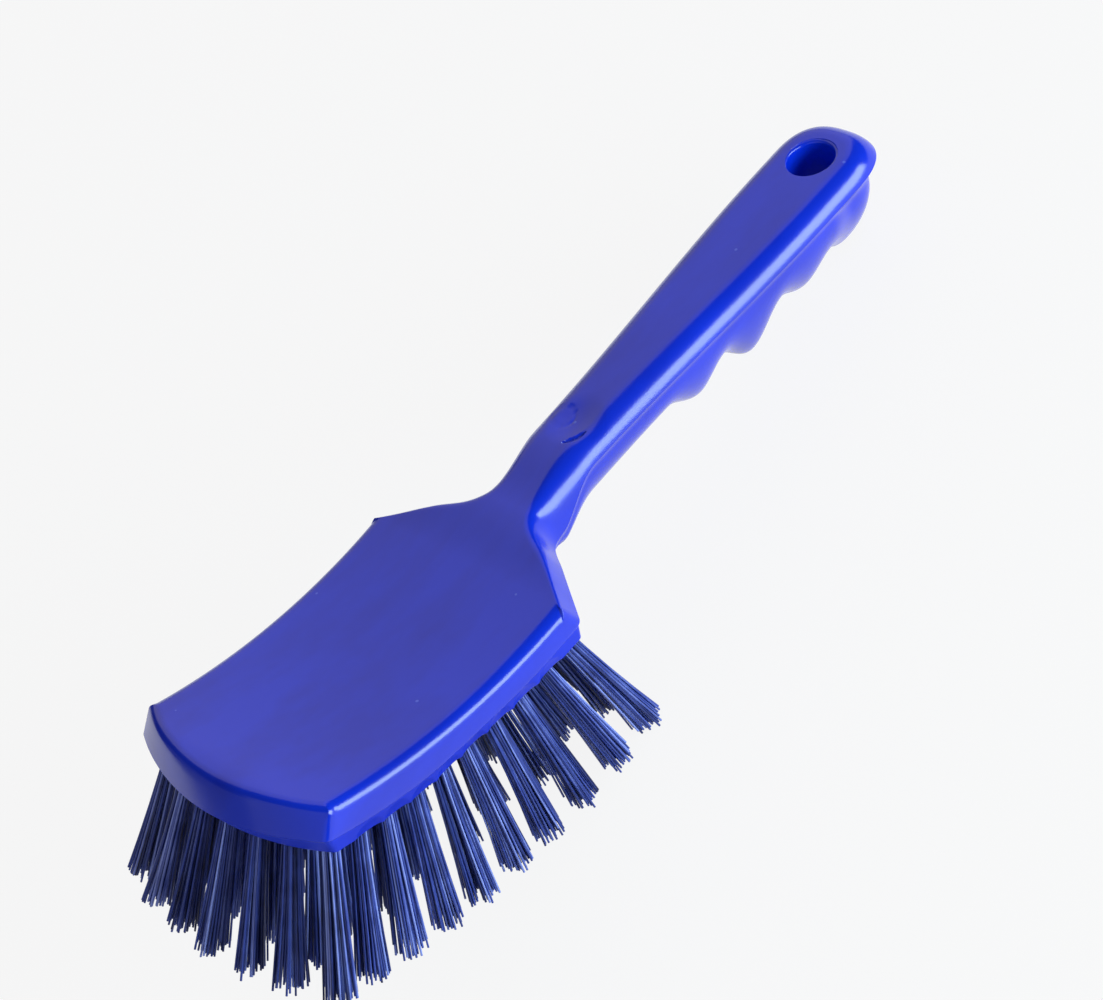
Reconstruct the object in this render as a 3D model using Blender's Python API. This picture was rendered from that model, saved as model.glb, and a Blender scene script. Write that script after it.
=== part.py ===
# A hand scrubbing brush: one moulded polypropylene body and 58 tufts of stiff filament.
# Each tuft is folded over its anchor and driven into its own blind hole.
# The body's own frame has x from the front edge to the butt, y across and z up,
# with zero height at the top of the grip where the hanging hole is.
# An empty then tips that frame until the brush lies on its rear tufts and its heel.

import math
import random

import bmesh
import bpy
from mathutils import Matrix, Vector

for thing in list(bpy.data.objects):
    bpy.data.objects.remove(thing)

mm = 0.001

# Plan of the body, seen from above
overall_length = 270.0 * mm
front_width = 73.6 * mm
front_arc_depth = 10.0 * mm
rear_width = 76.0 * mm
head_length = 100.0 * mm
front_corner_radius = 3.0 * mm
rear_corner_radius = 3.0 * mm
shoulder_length = 10.6 * mm
shoulder_width = 45.0 * mm
neck_start = 121.0 * mm
neck_start_width = 25.2 * mm
neck_waist = 138.0 * mm
neck_waist_width = 23.4 * mm
grip_widest_inset = 25.0 * mm
grip_width = 32.2 * mm
butt_length = 18.0 * mm
butt_round_share = 2.6
shoulder_pull_share = 0.42

# Side view of the top: a dished head, a low neck and a straight grip
dish_radius = 181.0 * mm
dish_low = 81.0 * mm
dish_drop = 12.7 * mm
front_droop = 3.6 * mm
front_droop_length = 12.0 * mm
dish_end = 98.0 * mm
neck_low = 117.0 * mm
neck_drop = 8.4 * mm
grip_start = 138.0 * mm
grip_start_drop = 4.3 * mm

# The head's wall and the grip's upper half, down to the parting line
head_edge_radius = 4.3 * mm
wall_height = 7.6 * mm
side_wall_degrees = 82.0
front_wall_degrees = 53.0
shoulder_wall_degrees = 67.0
shoulder_edge_radius = 1.3 * mm
front_corner_shrink_share = 0.3
slab_edge_radius = 0.6 * mm
slab_under_start = 3.5 * mm
slab_under_end = 14.0 * mm
grip_edge_width = 6.2 * mm
grip_edge_drop = 4.6 * mm
grip_side_draft = 0.8 * mm
neck_parting_drop = 11.0 * mm
parting_drop = 5.8 * mm
parting_settled = 140.0 * mm
parting_ledge = 0.9 * mm
butt_ledge = 2.0 * mm
blend_start = 104.0 * mm
blend_end = 124.0 * mm

# Finger ridges and grooves under the grip: distance from the butt and depth below the top
keel_width = 9.0 * mm
keel_round_share = 1.25
neck_depth = 18.6 * mm
neck_depth_end = 136.0 * mm
waist_depth = 18.2 * mm
waist_place = 170.0 * mm
ridge_insets = (86.5 * mm, 64.5 * mm, 40.0 * mm, 18.5 * mm)
ridge_depths = (25.2 * mm, 29.4 * mm, 27.2 * mm, 29.2 * mm)
groove_insets = (76.0 * mm, 51.5 * mm, 29.5 * mm)
groove_depths = (20.4 * mm, 22.0 * mm, 23.8 * mm)

# Thumb dimple on the neck and hanging hole in the butt
dimple_place = 129.0 * mm
dimple_radius = 9.5 * mm
dimple_depth = 1.2 * mm
hanging_hole_radius = 7.0 * mm
hanging_hole_inset = 17.2 * mm

# The bristle pad under the head: a lip just inside the wall, scooped at each side tuft
face_radius = 214.0 * mm
face_low = 88.0 * mm
face_drop = 26.0 * mm
lip_inset = 0.8 * mm
pad_rear = 101.6 * mm
pad_sink_share = 0.6
scoop_length = 8.8 * mm
scoop_height = 3.7 * mm
scoop_depth = 1.7 * mm
scoop_clearance = 0.35 * mm

# Tuft holes in ten rows, the first one bent to the front edge
row_counts = (7, 6, 5, 6, 5, 6, 5, 6, 5, 7)
first_row_corner = 12.6 * mm
last_row = 96.8 * mm
row_bunching = 1.5 * mm
field_width = 61.4 * mm
first_row_bend = 6.0 * mm
hole_radius = 2.4 * mm
hole_depth = 9.0 * mm
plug_clearance = 0.32 * mm
mouth_recess = 0.9 * mm
fan_focus = 78.9 * mm
fan_height_along = 96.0 * mm
fan_height_across = 106.0 * mm

# Filaments: seven thick strands stand for the sixty of a real tuft
trim_radius = 285.0 * mm
trim_low = 85.6 * mm
trim_drop = 63.2 * mm
strand_radius = 0.56 * mm
strand_ring_radius = 1.3 * mm
tuft_tip_radius = 3.3 * mm
uneven_cut = 0.3 * mm
worn_flat = 0.5 * mm
anchor_width = 3.2 * mm
anchor_thickness = 0.5 * mm
anchor_height = 1.6 * mm

# One overrun serves every cutter
overrun = 3.0 * mm

arc_steps = 8
corner_steps = 2
side_steps = 12
shoulder_steps = 3
blend_steps = 7
grip_steps = 36
butt_steps = 7
edge_steps = 3
under_steps = 4
top_columns = 3
face_steps = 12
scoop_levels = 8
scoop_sides = 12
hole_sides = 8
hanging_hole_sides = 20
strand_sides = 3
ring_strands = 6


def hermite(place, start, start_value, start_slope, end, end_value, end_slope):
    """A smooth value between two places whose values and slopes are known."""
    span = end - start
    t = (place - start) / span
    keep = 1 - t
    return (start_value * keep * keep * (1 + 2 * t) + start_slope * span * t * keep * keep
            + end_value * t * t * (1 + 2 * keep) - end_slope * span * t * t * keep)


def ease(place, start, end):
    t = min(max((place - start) / (end - start), 0.0), 1.0)
    return t * t * (3 - 2 * t)


def mix(a, b, t):
    return a + (b - a) * t


# Places that follow the butt
grip_widest = overall_length - grip_widest_inset
hanging_hole_place = overall_length - hanging_hole_inset
ridge_places = [overall_length - inset for inset in ridge_insets]
groove_places = [overall_length - inset for inset in groove_insets]

# The top line in side view
grip_slope = grip_start_drop / (hanging_hole_place - grip_start)


def dish_height(x):
    reach = x - dish_low
    height = dish_radius - math.sqrt(dish_radius ** 2 - reach ** 2) - dish_drop
    droop_share = max(1 - x / front_droop_length, 0.0)
    return height - front_droop * droop_share ** 2


def top_height(x):
    if x < dish_end:
        return dish_height(x)
    end_reach = dish_end - dish_low
    end_slope = end_reach / math.sqrt(dish_radius ** 2 - end_reach ** 2)
    if x < neck_low:
        return hermite(x, dish_end, dish_height(dish_end), end_slope, neck_low, -neck_drop, 0.0)
    if x < grip_start:
        return hermite(x, neck_low, -neck_drop, 0.0, grip_start, -grip_start_drop, grip_slope)
    return -grip_slope * (hanging_hole_place - x)


def face_height(x):
    reach = x - face_low
    return face_radius - math.sqrt(face_radius ** 2 - reach ** 2) - face_drop


def keel_depth(x):
    """Depth of the underside below the top: flat under the neck, then ridges and grooves."""
    places = [neck_depth_end, waist_place]
    depths = [neck_depth, waist_depth]
    for i, place in enumerate(ridge_places):
        places.append(place)
        depths.append(ridge_depths[i])
        if i < len(groove_places):
            places.append(groove_places[i])
            depths.append(groove_depths[i])
    if x <= places[0]:
        return depths[0]
    for i in range(1, len(places)):
        if x < places[i]:
            return mix(depths[i - 1], depths[i], ease(x, places[i - 1], places[i]))
    return depths[-1]


# The plan outline, on the left side of the brush only, where y is positive
front_arc_radius = (front_width ** 2 / 4 + front_arc_depth ** 2) / (2 * front_arc_depth)
shoulder_end = head_length + shoulder_length


def side_half_width(x):
    t = (x - front_arc_depth) / (head_length - front_arc_depth)
    return mix(front_width, rear_width, t) / 2


def grip_half_width(x):
    if x < neck_waist:
        slope = (neck_waist_width - neck_start_width) / (neck_waist - neck_start)
        return hermite(x, neck_start, neck_start_width / 2, slope, neck_waist, neck_waist_width / 2, 0.0)
    if x < grip_widest:
        return hermite(x, neck_waist, neck_waist_width / 2, 0.0, grip_widest, grip_width / 2, 0.0)
    return grip_width / 2


def grip_normal(x):
    step = mm / 10
    slope = (grip_half_width(x + step) - grip_half_width(x - step)) / (2 * step)
    return Vector((-slope, 1.0)).normalized()


def rounded_corner(corner, toward_last, toward_next, radius):
    """Points round a corner of the plan, and how far along each side the rounding starts."""
    half_turn = (math.pi - toward_last.angle(toward_next)) / 2
    run = radius * math.tan(half_turn)
    start = corner + toward_last * run
    end = corner + toward_next * run
    points = []
    for i in range(corner_steps + 1):
        t = i / corner_steps
        points.append(start * (1 - t) ** 2 + corner * 2 * t * (1 - t) + end * t ** 2)
    return points, run


def plan_ring(front_inset, side_inset, rear_insets):
    """The outline moved inwards, by rear_insets(x) from the shoulder to the butt.

    Each point comes with the shares that the front and the rear have in its section."""
    shoulder_top = Vector((head_length, rear_width / 2))
    shoulder_foot = Vector((shoulder_end, shoulder_width / 2))
    along_shoulder = (shoulder_foot - shoulder_top).normalized()
    shoulder_normal = Vector((-along_shoulder.y, along_shoulder.x))
    ring = []

    # the front arc, up to the front corner
    radius = front_arc_radius - front_inset
    corner = Vector((front_arc_depth, front_width / 2 - side_inset))
    for _ in range(4):
        corner.y = side_half_width(corner.x) - side_inset
        corner.x = front_arc_radius - math.sqrt(radius ** 2 - corner.y ** 2)
    shrunk_radius = front_corner_radius - front_inset * front_corner_shrink_share
    corner_radius = max(shrunk_radius, front_corner_radius / 4)
    arc_tangent = Vector((-corner.y, corner.x - front_arc_radius)).normalized()
    rounding, run = rounded_corner(corner, arc_tangent, Vector((1.0, 0.0)), corner_radius)
    last_angle = math.asin(corner.y / radius) - run / radius
    for i in range(arc_steps):
        angle = last_angle * i / arc_steps
        ring.append(Vector((front_arc_radius - radius * math.cos(angle), radius * math.sin(angle))))
    ring.extend(rounding)

    # the side, up to the rear corner
    rear = Vector((head_length, 0.0))
    foot = shoulder_top - shoulder_normal * rear_insets(head_length)
    for _ in range(4):
        rear.y = side_half_width(rear.x) - side_inset
        rear.x = foot.x + (rear.y - foot.y) * along_shoulder.x / along_shoulder.y
    corner_radius = max(rear_corner_radius - side_inset, rear_corner_radius / 4)
    rounding_rear, run_rear = rounded_corner(rear, Vector((-1.0, 0.0)), along_shoulder, corner_radius)
    side_start = corner.x + run
    side_end = rear.x - run_rear
    for i in range(1, side_steps):
        x = mix(side_start, side_end, i / side_steps)
        ring.append(Vector((x, side_half_width(x) - side_inset)))
    rear_start = len(ring)
    ring.extend(rounding_rear)

    # the shoulder, a straight run and then a hollow blend into the neck
    start = rounding_rear[-1]
    for i in range(1, shoulder_steps + 1):
        t = i / shoulder_steps
        place = shoulder_top.lerp(shoulder_foot, t)
        ring.append(mix(start, shoulder_foot - shoulder_normal * rear_insets(place.x), t))
    neck = Vector((neck_start, grip_half_width(neck_start)))
    neck_normal = grip_normal(neck_start)
    along_neck = Vector((neck_normal.y, -neck_normal.x))
    pull = (neck - shoulder_foot).length * shoulder_pull_share
    handles = (shoulder_foot, shoulder_foot + along_shoulder * pull, neck - along_neck * pull, neck)
    for i in range(1, blend_steps + 1):
        t = i / blend_steps
        u = 1 - t
        point = (handles[0] * u ** 3 + handles[1] * 3 * u * u * t
                 + handles[2] * 3 * u * t * t + handles[3] * t ** 3)
        along = ((handles[1] - handles[0]) * u * u + (handles[2] - handles[1]) * 2 * u * t
                 + (handles[3] - handles[2]) * t * t).normalized()
        ring.append(point - Vector((-along.y, along.x)) * rear_insets(point.x))

    # the grip and its round butt
    butt_start = overall_length - butt_length
    for i in range(1, grip_steps + 1):
        x = mix(neck_start, butt_start, i / grip_steps)
        ring.append(Vector((x, grip_half_width(x))) - grip_normal(x) * rear_insets(x))
    side_reach = grip_half_width(butt_start) - rear_insets(butt_start)
    end_reach = side_reach * butt_length / grip_half_width(butt_start)
    for i in range(1, butt_steps + 1):
        angle = math.pi / 2 * i / butt_steps
        along = end_reach * math.sin(angle) ** (2 / butt_round_share)
        across = side_reach * max(math.cos(angle), 0.0) ** (2 / butt_round_share)
        ring.append(Vector((butt_start + along, across)))
    ring[-1].y = 0.0
    front_end = arc_steps + corner_steps
    shares = []
    for i in range(len(ring)):
        shares.append((min(max((front_end - i) / corner_steps, 0.0), 1.0),
                       min(max((i - rear_start) / corner_steps, 0.0), 1.0)))
    return list(zip(ring, shares))


def head_profile(degrees, edge_radius):
    """Inset and depth of each ring of the head, where the wall stands at a given angle."""
    slope = math.radians(degrees)
    start = wall_height / math.tan(slope) + edge_radius * math.tan(slope / 2)
    rings = []
    for i in range(edge_steps + 1):
        angle = slope * i / edge_steps
        rings.append((start - edge_radius * math.sin(angle), edge_radius * (1 - math.cos(angle))))
    rings.append((0.0, wall_height))
    underside = wall_height + slab_edge_radius
    rings.append((slab_edge_radius, underside))
    for i in range(under_steps):
        rings.append((mix(slab_under_start, slab_under_end, i / (under_steps - 1)), underside))
    return rings


def grip_profile(x):
    """The same rings on the grip: a rounded top edge, the parting line and a tapered keel."""
    rings = []
    for i in range(edge_steps + 1):
        angle = math.pi / 2 * i / edge_steps
        rings.append((grip_side_draft + grip_edge_width * (1 - math.sin(angle)),
                      grip_edge_drop * (1 - math.cos(angle))))
    parting = mix(neck_parting_drop, parting_drop, ease(x, neck_start, parting_settled))
    rings.append((0.0, parting))
    ledge = mix(parting_ledge, butt_ledge, ease(x, groove_places[-1], ridge_places[-1]))
    rings.append((ledge, parting + ledge))
    narrowing = grip_half_width(max(x, neck_start)) - keel_width / 2
    for i in range(1, under_steps + 1):
        angle = math.pi / 2 * i / under_steps
        rings.append((mix(narrowing, ledge, math.cos(angle) ** keel_round_share),
                      mix(parting + ledge, keel_depth(x), math.sin(angle))))
    return rings


def rear_profile(x):
    t = ease(x, blend_start, blend_end)
    return [(mix(a[0], b[0], t), mix(a[1], b[1], t))
            for a, b in zip(head_profile(shoulder_wall_degrees, shoulder_edge_radius), grip_profile(x))]


def dimple(x, y):
    reach = math.hypot(x - dimple_place, y) / dimple_radius
    return dimple_depth * (1 - reach ** 2) ** 2 if reach < 1 else 0.0


def body_rows():
    """Rows of points along the left half of the body, from the top middle to the keel middle."""
    rings = []
    front_rings = head_profile(front_wall_degrees, head_edge_radius)
    side_rings = head_profile(side_wall_degrees, head_edge_radius)
    for k, (front, side) in enumerate(zip(front_rings, side_rings)):
        ring = []
        for point, shares in plan_ring(front[0], side[0], lambda x: rear_profile(x)[k][0]):
            depth = mix(mix(side[1], front[1], shares[0]), rear_profile(point.x)[k][1], shares[1])
            ring.append(Vector((point.x, max(point.y, 0.0), top_height(point.x) - depth)))
        rings.append(ring)
    rows = []
    for column in range(top_columns):
        share = column / top_columns
        rows.append([Vector((p.x, p.y * share, p.z)) for p in rings[0]])
    rows.extend(rings)
    rows.append([Vector((p.x, 0.0, p.z)) for p in rings[-1]])
    for row in rows[:top_columns + edge_steps + 1]:
        for point in row:
            point.z -= dimple(point.x, point.y)
    return rows


def add_object(name, bm, material):
    bmesh.ops.recalc_face_normals(bm, faces=bm.faces)
    mesh = bpy.data.meshes.new(name)
    bm.to_mesh(mesh)
    bm.free()
    mesh.materials.append(material)
    thing = bpy.data.objects.new(name, mesh)
    bpy.context.collection.objects.link(thing)
    return thing


def make_guide(thing):
    thing.hide_render = True
    thing.display_type = "WIRE"
    return thing


def make_material(name, colour, roughness, metallic):
    material = bpy.data.materials.new(name)
    material.use_nodes = True
    shader = material.node_tree.nodes["Principled BSDF"]
    shader.inputs["Base Color"].default_value = (*colour, 1.0)
    shader.inputs["Roughness"].default_value = roughness
    shader.inputs["Metallic"].default_value = metallic
    return material


def make_shell(rows, name, material):
    """Close the half body and its mirror image into one skin."""
    bm = bmesh.new()
    for side in (1, -1):
        grid = [[bm.verts.new((p.x, p.y * side, p.z)) for p in row] for row in rows]
        for upper, lower in zip(grid, grid[1:]):
            for i in range(len(upper) - 1):
                bm.faces.new((upper[i], upper[i + 1], lower[i + 1], lower[i]))
    weld = overrun / 10000
    bmesh.ops.remove_doubles(bm, verts=bm.verts, dist=weld)
    bmesh.ops.dissolve_degenerate(bm, edges=bm.edges, dist=weld)
    return add_object(name, bm, material)


def extrude_outline(points, low, high, name, material):
    """A prism of a closed outline in plan, between two heights."""
    bm = bmesh.new()
    rings = [[bm.verts.new((p.x, p.y, z)) for p in points] for z in (low, high)]
    bm.faces.new(rings[0])
    bm.faces.new(reversed(rings[1]))
    for i in range(len(points)):
        j = (i + 1) % len(points)
        bm.faces.new((rings[0][i], rings[0][j], rings[1][j], rings[1][i]))
    return add_object(name, bm, material)


# Places of the tufts
def tuft_place(row, number):
    count = row_counts[row]
    across = field_width * (number / (count - 1) - 0.5)
    row_share = row / (len(row_counts) - 1)
    bend = first_row_bend * (1 - row_share) * (1 - (2 * across / field_width) ** 2)
    bunching = row_bunching * (1 - (2 * row_share - 1) ** 2)
    x = mix(first_row_corner, last_row, row_share) - bend - bunching
    return Vector((x, across, face_height(x)))


def tuft_direction(place):
    along = (place.x - fan_focus) / fan_height_along
    return Vector((along, place.y / fan_height_across, -1.0)).normalized()


def lip_outline():
    """The head's outline moved in by the lip's inset and closed straight behind the last row."""
    ring = [point for point, _ in plan_ring(lip_inset, lip_inset, lambda x: lip_inset)]
    side = [point for point in ring if point.x < pad_rear]
    ahead = ring[len(side)]
    side.append(side[-1].lerp(ahead, (pad_rear - side[-1].x) / (ahead.x - side[-1].x)))
    return side + [Vector((p.x, -p.y)) for p in reversed(side[1:])]


def bristle_pad(material):
    """A slab with the curved bristle face below, trimmed to the lip's outline."""
    outline = lip_outline()
    start = min(p.x for p in outline) - overrun
    end = max(p.x for p in outline) + overrun
    half_width = max(p.y for p in outline) + overrun
    bm = bmesh.new()
    rows = []
    for i in range(face_steps + 1):
        x = mix(start, end, i / face_steps)
        deep = face_height(x)
        shallow = top_height(min(max(x, 0.0), dish_end)) - wall_height * pad_sink_share
        rows.append([bm.verts.new((x, y, z)) for y, z in ((-half_width, deep), (half_width, deep),
                                                         (half_width, shallow), (-half_width, shallow))])
    bm.faces.new(rows[0])
    bm.faces.new(reversed(rows[-1]))
    for near, far in zip(rows, rows[1:]):
        for k in range(4):
            m = (k + 1) % 4
            bm.faces.new((near[k], near[m], far[m], far[k]))
    pad = make_guide(add_object("bristle_pad", bm, material))
    prism = extrude_outline(outline, -face_drop - overrun, overrun, "pad_outline", material)
    add_boolean(pad, make_guide(prism), "INTERSECT")
    return pad, prism


def add_boolean(thing, cutter, operation):
    modifier = thing.modifiers.new(cutter.name, "BOOLEAN")
    modifier.operation = operation
    modifier.object = cutter


def placement(place, direction):
    turn = direction.to_track_quat("Z", "Y").to_matrix().to_4x4()
    return Matrix.Translation(place) @ turn


def polygon(radius, sides, height):
    points = []
    for i in range(sides):
        angle = math.tau * (i + 0.5) / sides
        points.append(Vector((radius * math.cos(angle), radius * math.sin(angle), height)))
    return points


def add_prism(bm, low, high):
    """Walls and ends between two rings of points that match."""
    rings = [[bm.verts.new(p) for p in ring] for ring in (low, high)]
    bm.faces.new(reversed(rings[0]))
    bm.faces.new(rings[1])
    for i in range(len(low)):
        j = (i + 1) % len(low)
        bm.faces.new((rings[0][i], rings[0][j], rings[1][j], rings[1][i]))


def hole_cutters(places, material):
    """All the tuft holes as one cutter of separate prisms."""
    bm = bmesh.new()
    for place in places:
        frame = placement(place, tuft_direction(place))
        low = [frame @ p for p in polygon(hole_radius, hole_sides, -hole_depth)]
        high = [frame @ p for p in polygon(hole_radius, hole_sides, overrun)]
        add_prism(bm, low, high)
    return make_guide(add_object("tuft_holes", bm, material))


def scoop_cutters(places, material):
    """A flattened ball for each scoop in the lip, one beside every outer tuft of the sides."""
    bm = bmesh.new()
    size = Matrix.Diagonal((scoop_length / 2, scoop_depth, scoop_height, 1.0))
    for place in places:
        reach = side_half_width(place.x) - lip_inset + scoop_clearance
        middle = Vector((place.x, math.copysign(reach, place.y), place.z - scoop_clearance))
        bmesh.ops.create_uvsphere(bm, u_segments=scoop_sides, v_segments=scoop_levels,
                                  radius=1.0, matrix=Matrix.Translation(middle) @ size)
    return make_guide(add_object("lip_scoops", bm, material))


def hanging_hole_cutter(material):
    bm = bmesh.new()
    middle = Vector((hanging_hole_place, 0.0, 0.0))
    low = [middle + p for p in polygon(hanging_hole_radius, hanging_hole_sides,
                                       -max(ridge_depths) - overrun)]
    high = [middle + p for p in polygon(hanging_hole_radius, hanging_hole_sides, overrun)]
    add_prism(bm, low, high)
    return make_guide(add_object("hanging_hole", bm, material))


# Strands of the tufts
def trim_reach(start, direction):
    """How far a strand runs from its start to the curve that all tips are trimmed to."""
    middle = Vector((trim_low, trim_radius - trim_drop))
    offset = Vector((start.x, start.z)) - middle
    heading = Vector((direction.x, direction.z))
    a = heading.length_squared
    b = offset.dot(heading)
    c = offset.length_squared - trim_radius ** 2
    return (-b + math.sqrt(b * b - a * c)) / a


def cut_lengths(row, number):
    """How much each strand is cut long or short: random, but alike on both sides."""
    side = row_counts[row] - 1 - 2 * number
    dice = random.Random(len(row_counts) * abs(side) + row)
    middle = dice.uniform(-uneven_cut, uneven_cut)
    cuts = [dice.uniform(-uneven_cut, uneven_cut) for _ in range(ring_strands)]
    mirrored = [cuts[(ring_strands // 2 - 1 - i) % ring_strands] for i in range(ring_strands)]
    if side < 0:
        return [middle] + mirrored
    if side == 0:
        cuts = [max(a, b) for a, b in zip(cuts, mirrored)]
    return [middle] + cuts


def strand_list(place, cuts):
    """Start, direction and length of each strand of one tuft, in the body's frame."""
    direction = tuft_direction(place)
    frame = placement(place, direction)
    spots = [Vector((0.0, 0.0, 0.0))] + polygon(1.0, ring_strands, 0.0)
    nominal = trim_reach(place, direction)
    strands = []
    for spot, cut in zip(spots, cuts):
        start = frame @ (spot * strand_ring_radius + Vector((0.0, 0.0, -mouth_recess)))
        spread = spot * (tuft_tip_radius - strand_ring_radius) / nominal
        heading = (direction + frame.to_3x3() @ spread).normalized()
        strands.append((start, heading, trim_reach(start, heading) + cut))
    return strands


def strand_section():
    """A strand's cross section, turned so that it mirrors across the brush."""
    turn = Matrix.Rotation(math.pi / 2 - math.pi / strand_sides, 4, "Z")
    return [turn @ p for p in polygon(strand_radius, strand_sides, 0.0)]


def resting_line(tips, heels):
    """The floor in the body's frame: it touches the heel and cuts the lowest tips flat."""
    best = None
    for tip in tips:
        height = tip.z + worn_flat
        slope = min((heel.z - height) / (heel.x - tip.x) for heel in heels)
        if best is None or slope > best[0]:
            best = (slope, height - slope * tip.x)
    return best


def make_tuft(name, place, strands, floor, material):
    """One tuft: the folded root with its anchor in the hole, and strands out to the trim."""
    frame = placement(place, tuft_direction(place))
    to_local = frame.inverted()
    plug_radius = hole_radius - plug_clearance / math.cos(math.pi / hole_sides)
    root = -hole_depth + plug_clearance
    bm = bmesh.new()

    # the root, closed below by the anchor's loop and open above for the strands
    bottom = [bm.verts.new(p) for p in polygon(plug_radius, hole_sides, root + anchor_height)]
    mouth = [bm.verts.new(p) for p in polygon(plug_radius, hole_sides, -mouth_recess)]
    for i in range(hole_sides):
        j = (i + 1) % hole_sides
        bm.faces.new((bottom[i], bottom[j], mouth[j], mouth[i]))
    half_width = anchor_width / 2
    half_thick = anchor_thickness / 2
    anchor = [bm.verts.new((x, y, root)) for x, y in ((-half_width, -half_thick),
                                                      (half_width, -half_thick),
                                                      (half_width, half_thick),
                                                      (-half_width, half_thick))]
    bm.faces.new(reversed(anchor))
    bottom_edges = [bm.edges.get((bottom[i], bottom[i - 1])) for i in range(hole_sides)]
    anchor_edges = [bm.edges.get((anchor[i], anchor[i - 1])) for i in range(4)]
    bmesh.ops.bridge_loops(bm, edges=bottom_edges + anchor_edges)

    # the strands, each cut off where the floor would press it flat
    slope, level = floor
    rims = [bm.edges.get((mouth[i], mouth[i - 1])) for i in range(hole_sides)]
    for start, heading, length in strands:
        foot = to_local @ start
        base = [foot + p for p in strand_section()]
        ends = []
        for point in base:
            origin = frame @ point
            tip = origin + heading * length
            sunk = level + slope * tip.x - tip.z
            if sunk > 0:
                tip += heading * sunk / (heading.z - slope * heading.x)
            ends.append(to_local @ tip)
        low = [bm.verts.new(p) for p in base]
        high = [bm.verts.new(p) for p in ends]
        bm.faces.new(high)
        for i in range(strand_sides):
            j = (i + 1) % strand_sides
            bm.faces.new((low[i], low[j], high[j], high[i]))
            rims.append(bm.edges.get((low[i], low[j])))
    bmesh.ops.triangle_fill(bm, edges=rims, use_beauty=True, normal=(0.0, 0.0, 1.0))
    tuft = add_object(name, bm, material)
    tuft.matrix_local = frame
    return tuft


def main():
    moulded = make_material("blue_polypropylene", (0.035, 0.06, 0.62), 0.28, 0.0)
    filament = make_material("navy_polyester", (0.02, 0.03, 0.18), 0.4, 0.0)

    rows = body_rows()
    body = make_shell(rows, "brush_body", moulded)
    body.data.shade_smooth()
    body.data.set_sharp_from_angle(angle=math.radians(35))

    places = []
    side_places = []
    strands = []
    for row, count in enumerate(row_counts):
        for number in range(count):
            places.append(tuft_place(row, number))
            if 0 < row < len(row_counts) - 1 and number in (0, count - 1):
                side_places.append(places[-1])
            strands.append(strand_list(places[-1], cut_lengths(row, number)))
    pad, prism = bristle_pad(moulded)
    holes = hole_cutters(places, moulded)
    scoops = scoop_cutters(side_places, moulded)
    eye = hanging_hole_cutter(moulded)
    add_boolean(body, pad, "UNION")
    add_boolean(body, scoops, "DIFFERENCE")
    add_boolean(body, holes, "DIFFERENCE")
    add_boolean(body, eye, "DIFFERENCE")

    tips = [start + heading * length for tuft in strands for start, heading, length in tuft]
    heels = [p for row in rows for p in row if p.x > grip_start]
    floor = resting_line(tips, heels)

    solids = [body]
    for number, place in enumerate(places):
        name = "tuft_{:02d}".format(number + 1)
        solids.append(make_tuft(name, place, strands[number], floor, filament))
    bpy.context.view_layer.update()

    # tip the brush onto the floor and centre it over the origin
    slope, level = floor
    turn = Matrix.Rotation(math.atan(slope), 4, "Y")
    corners = []
    for solid in solids:
        corners += [turn @ solid.matrix_world @ v.co for v in solid.data.vertices]
    middle_x = (min(c.x for c in corners) + max(c.x for c in corners)) / 2
    stand = bpy.data.objects.new("brush_frame", None)
    bpy.context.collection.objects.link(stand)
    ground = turn @ Vector((0.0, 0.0, level))
    stand.rotation_euler = (0.0, math.atan(slope), 0.0)
    stand.location = (-middle_x, 0.0, -ground.z)
    for piece in solids + [pad, prism, holes, scoops, eye]:
        piece.parent = stand


main()
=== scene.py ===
import math
import random

import bmesh
import bpy
import numpy as np
from mathutils import Matrix, Vector


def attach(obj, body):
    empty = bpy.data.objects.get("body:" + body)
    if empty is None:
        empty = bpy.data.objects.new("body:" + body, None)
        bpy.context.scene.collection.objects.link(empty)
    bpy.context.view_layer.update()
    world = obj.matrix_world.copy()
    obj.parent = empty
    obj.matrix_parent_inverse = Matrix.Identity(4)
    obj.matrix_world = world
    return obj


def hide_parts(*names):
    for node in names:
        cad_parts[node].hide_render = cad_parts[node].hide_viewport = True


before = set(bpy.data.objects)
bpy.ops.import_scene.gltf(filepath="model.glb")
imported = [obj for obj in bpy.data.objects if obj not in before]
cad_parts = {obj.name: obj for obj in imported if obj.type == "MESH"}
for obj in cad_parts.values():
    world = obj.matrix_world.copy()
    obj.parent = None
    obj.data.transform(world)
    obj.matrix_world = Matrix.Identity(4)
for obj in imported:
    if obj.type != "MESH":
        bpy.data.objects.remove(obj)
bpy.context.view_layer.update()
print("frame loaded with", len(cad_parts), "nodes")

scene = bpy.context.scene
mm = 0.001

# The brush is described in millimetres along its own axes: x from the front edge to the butt,
# z up, zero height where the hanging hole meets the top. This puts it on its rear tufts and heel.
stance = {"tilt": 12.41172, "shift": (-115.89823, 0.0, 83.60776)}
toWorld = (Matrix.Scale(mm, 4) @ Matrix.Translation(stance["shift"])
           @ Matrix.Rotation(math.radians(stance["tilt"]), 4, "Y"))
floorNormal = toWorld.inverted().to_3x3() @ Vector((0.0, 0.0, 1.0))
floorNormal.normalize()
floorPoint = toWorld.inverted() @ Vector((0.0, 0.0, 0.0))


def hexColour(code):
    # sRGB hex to linear
    values = [int(code[i:i + 2], 16) / 255 for i in (1, 3, 5)]
    linear = [v / 12.92 if v <= 0.04045 else ((v + 0.055) / 1.055) ** 2.4 for v in values]
    return (*linear, 1.0)


def patternScale(size):
    # a texture's scale from the real size of its pattern in mm
    return 1 / (size * mm)


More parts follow.
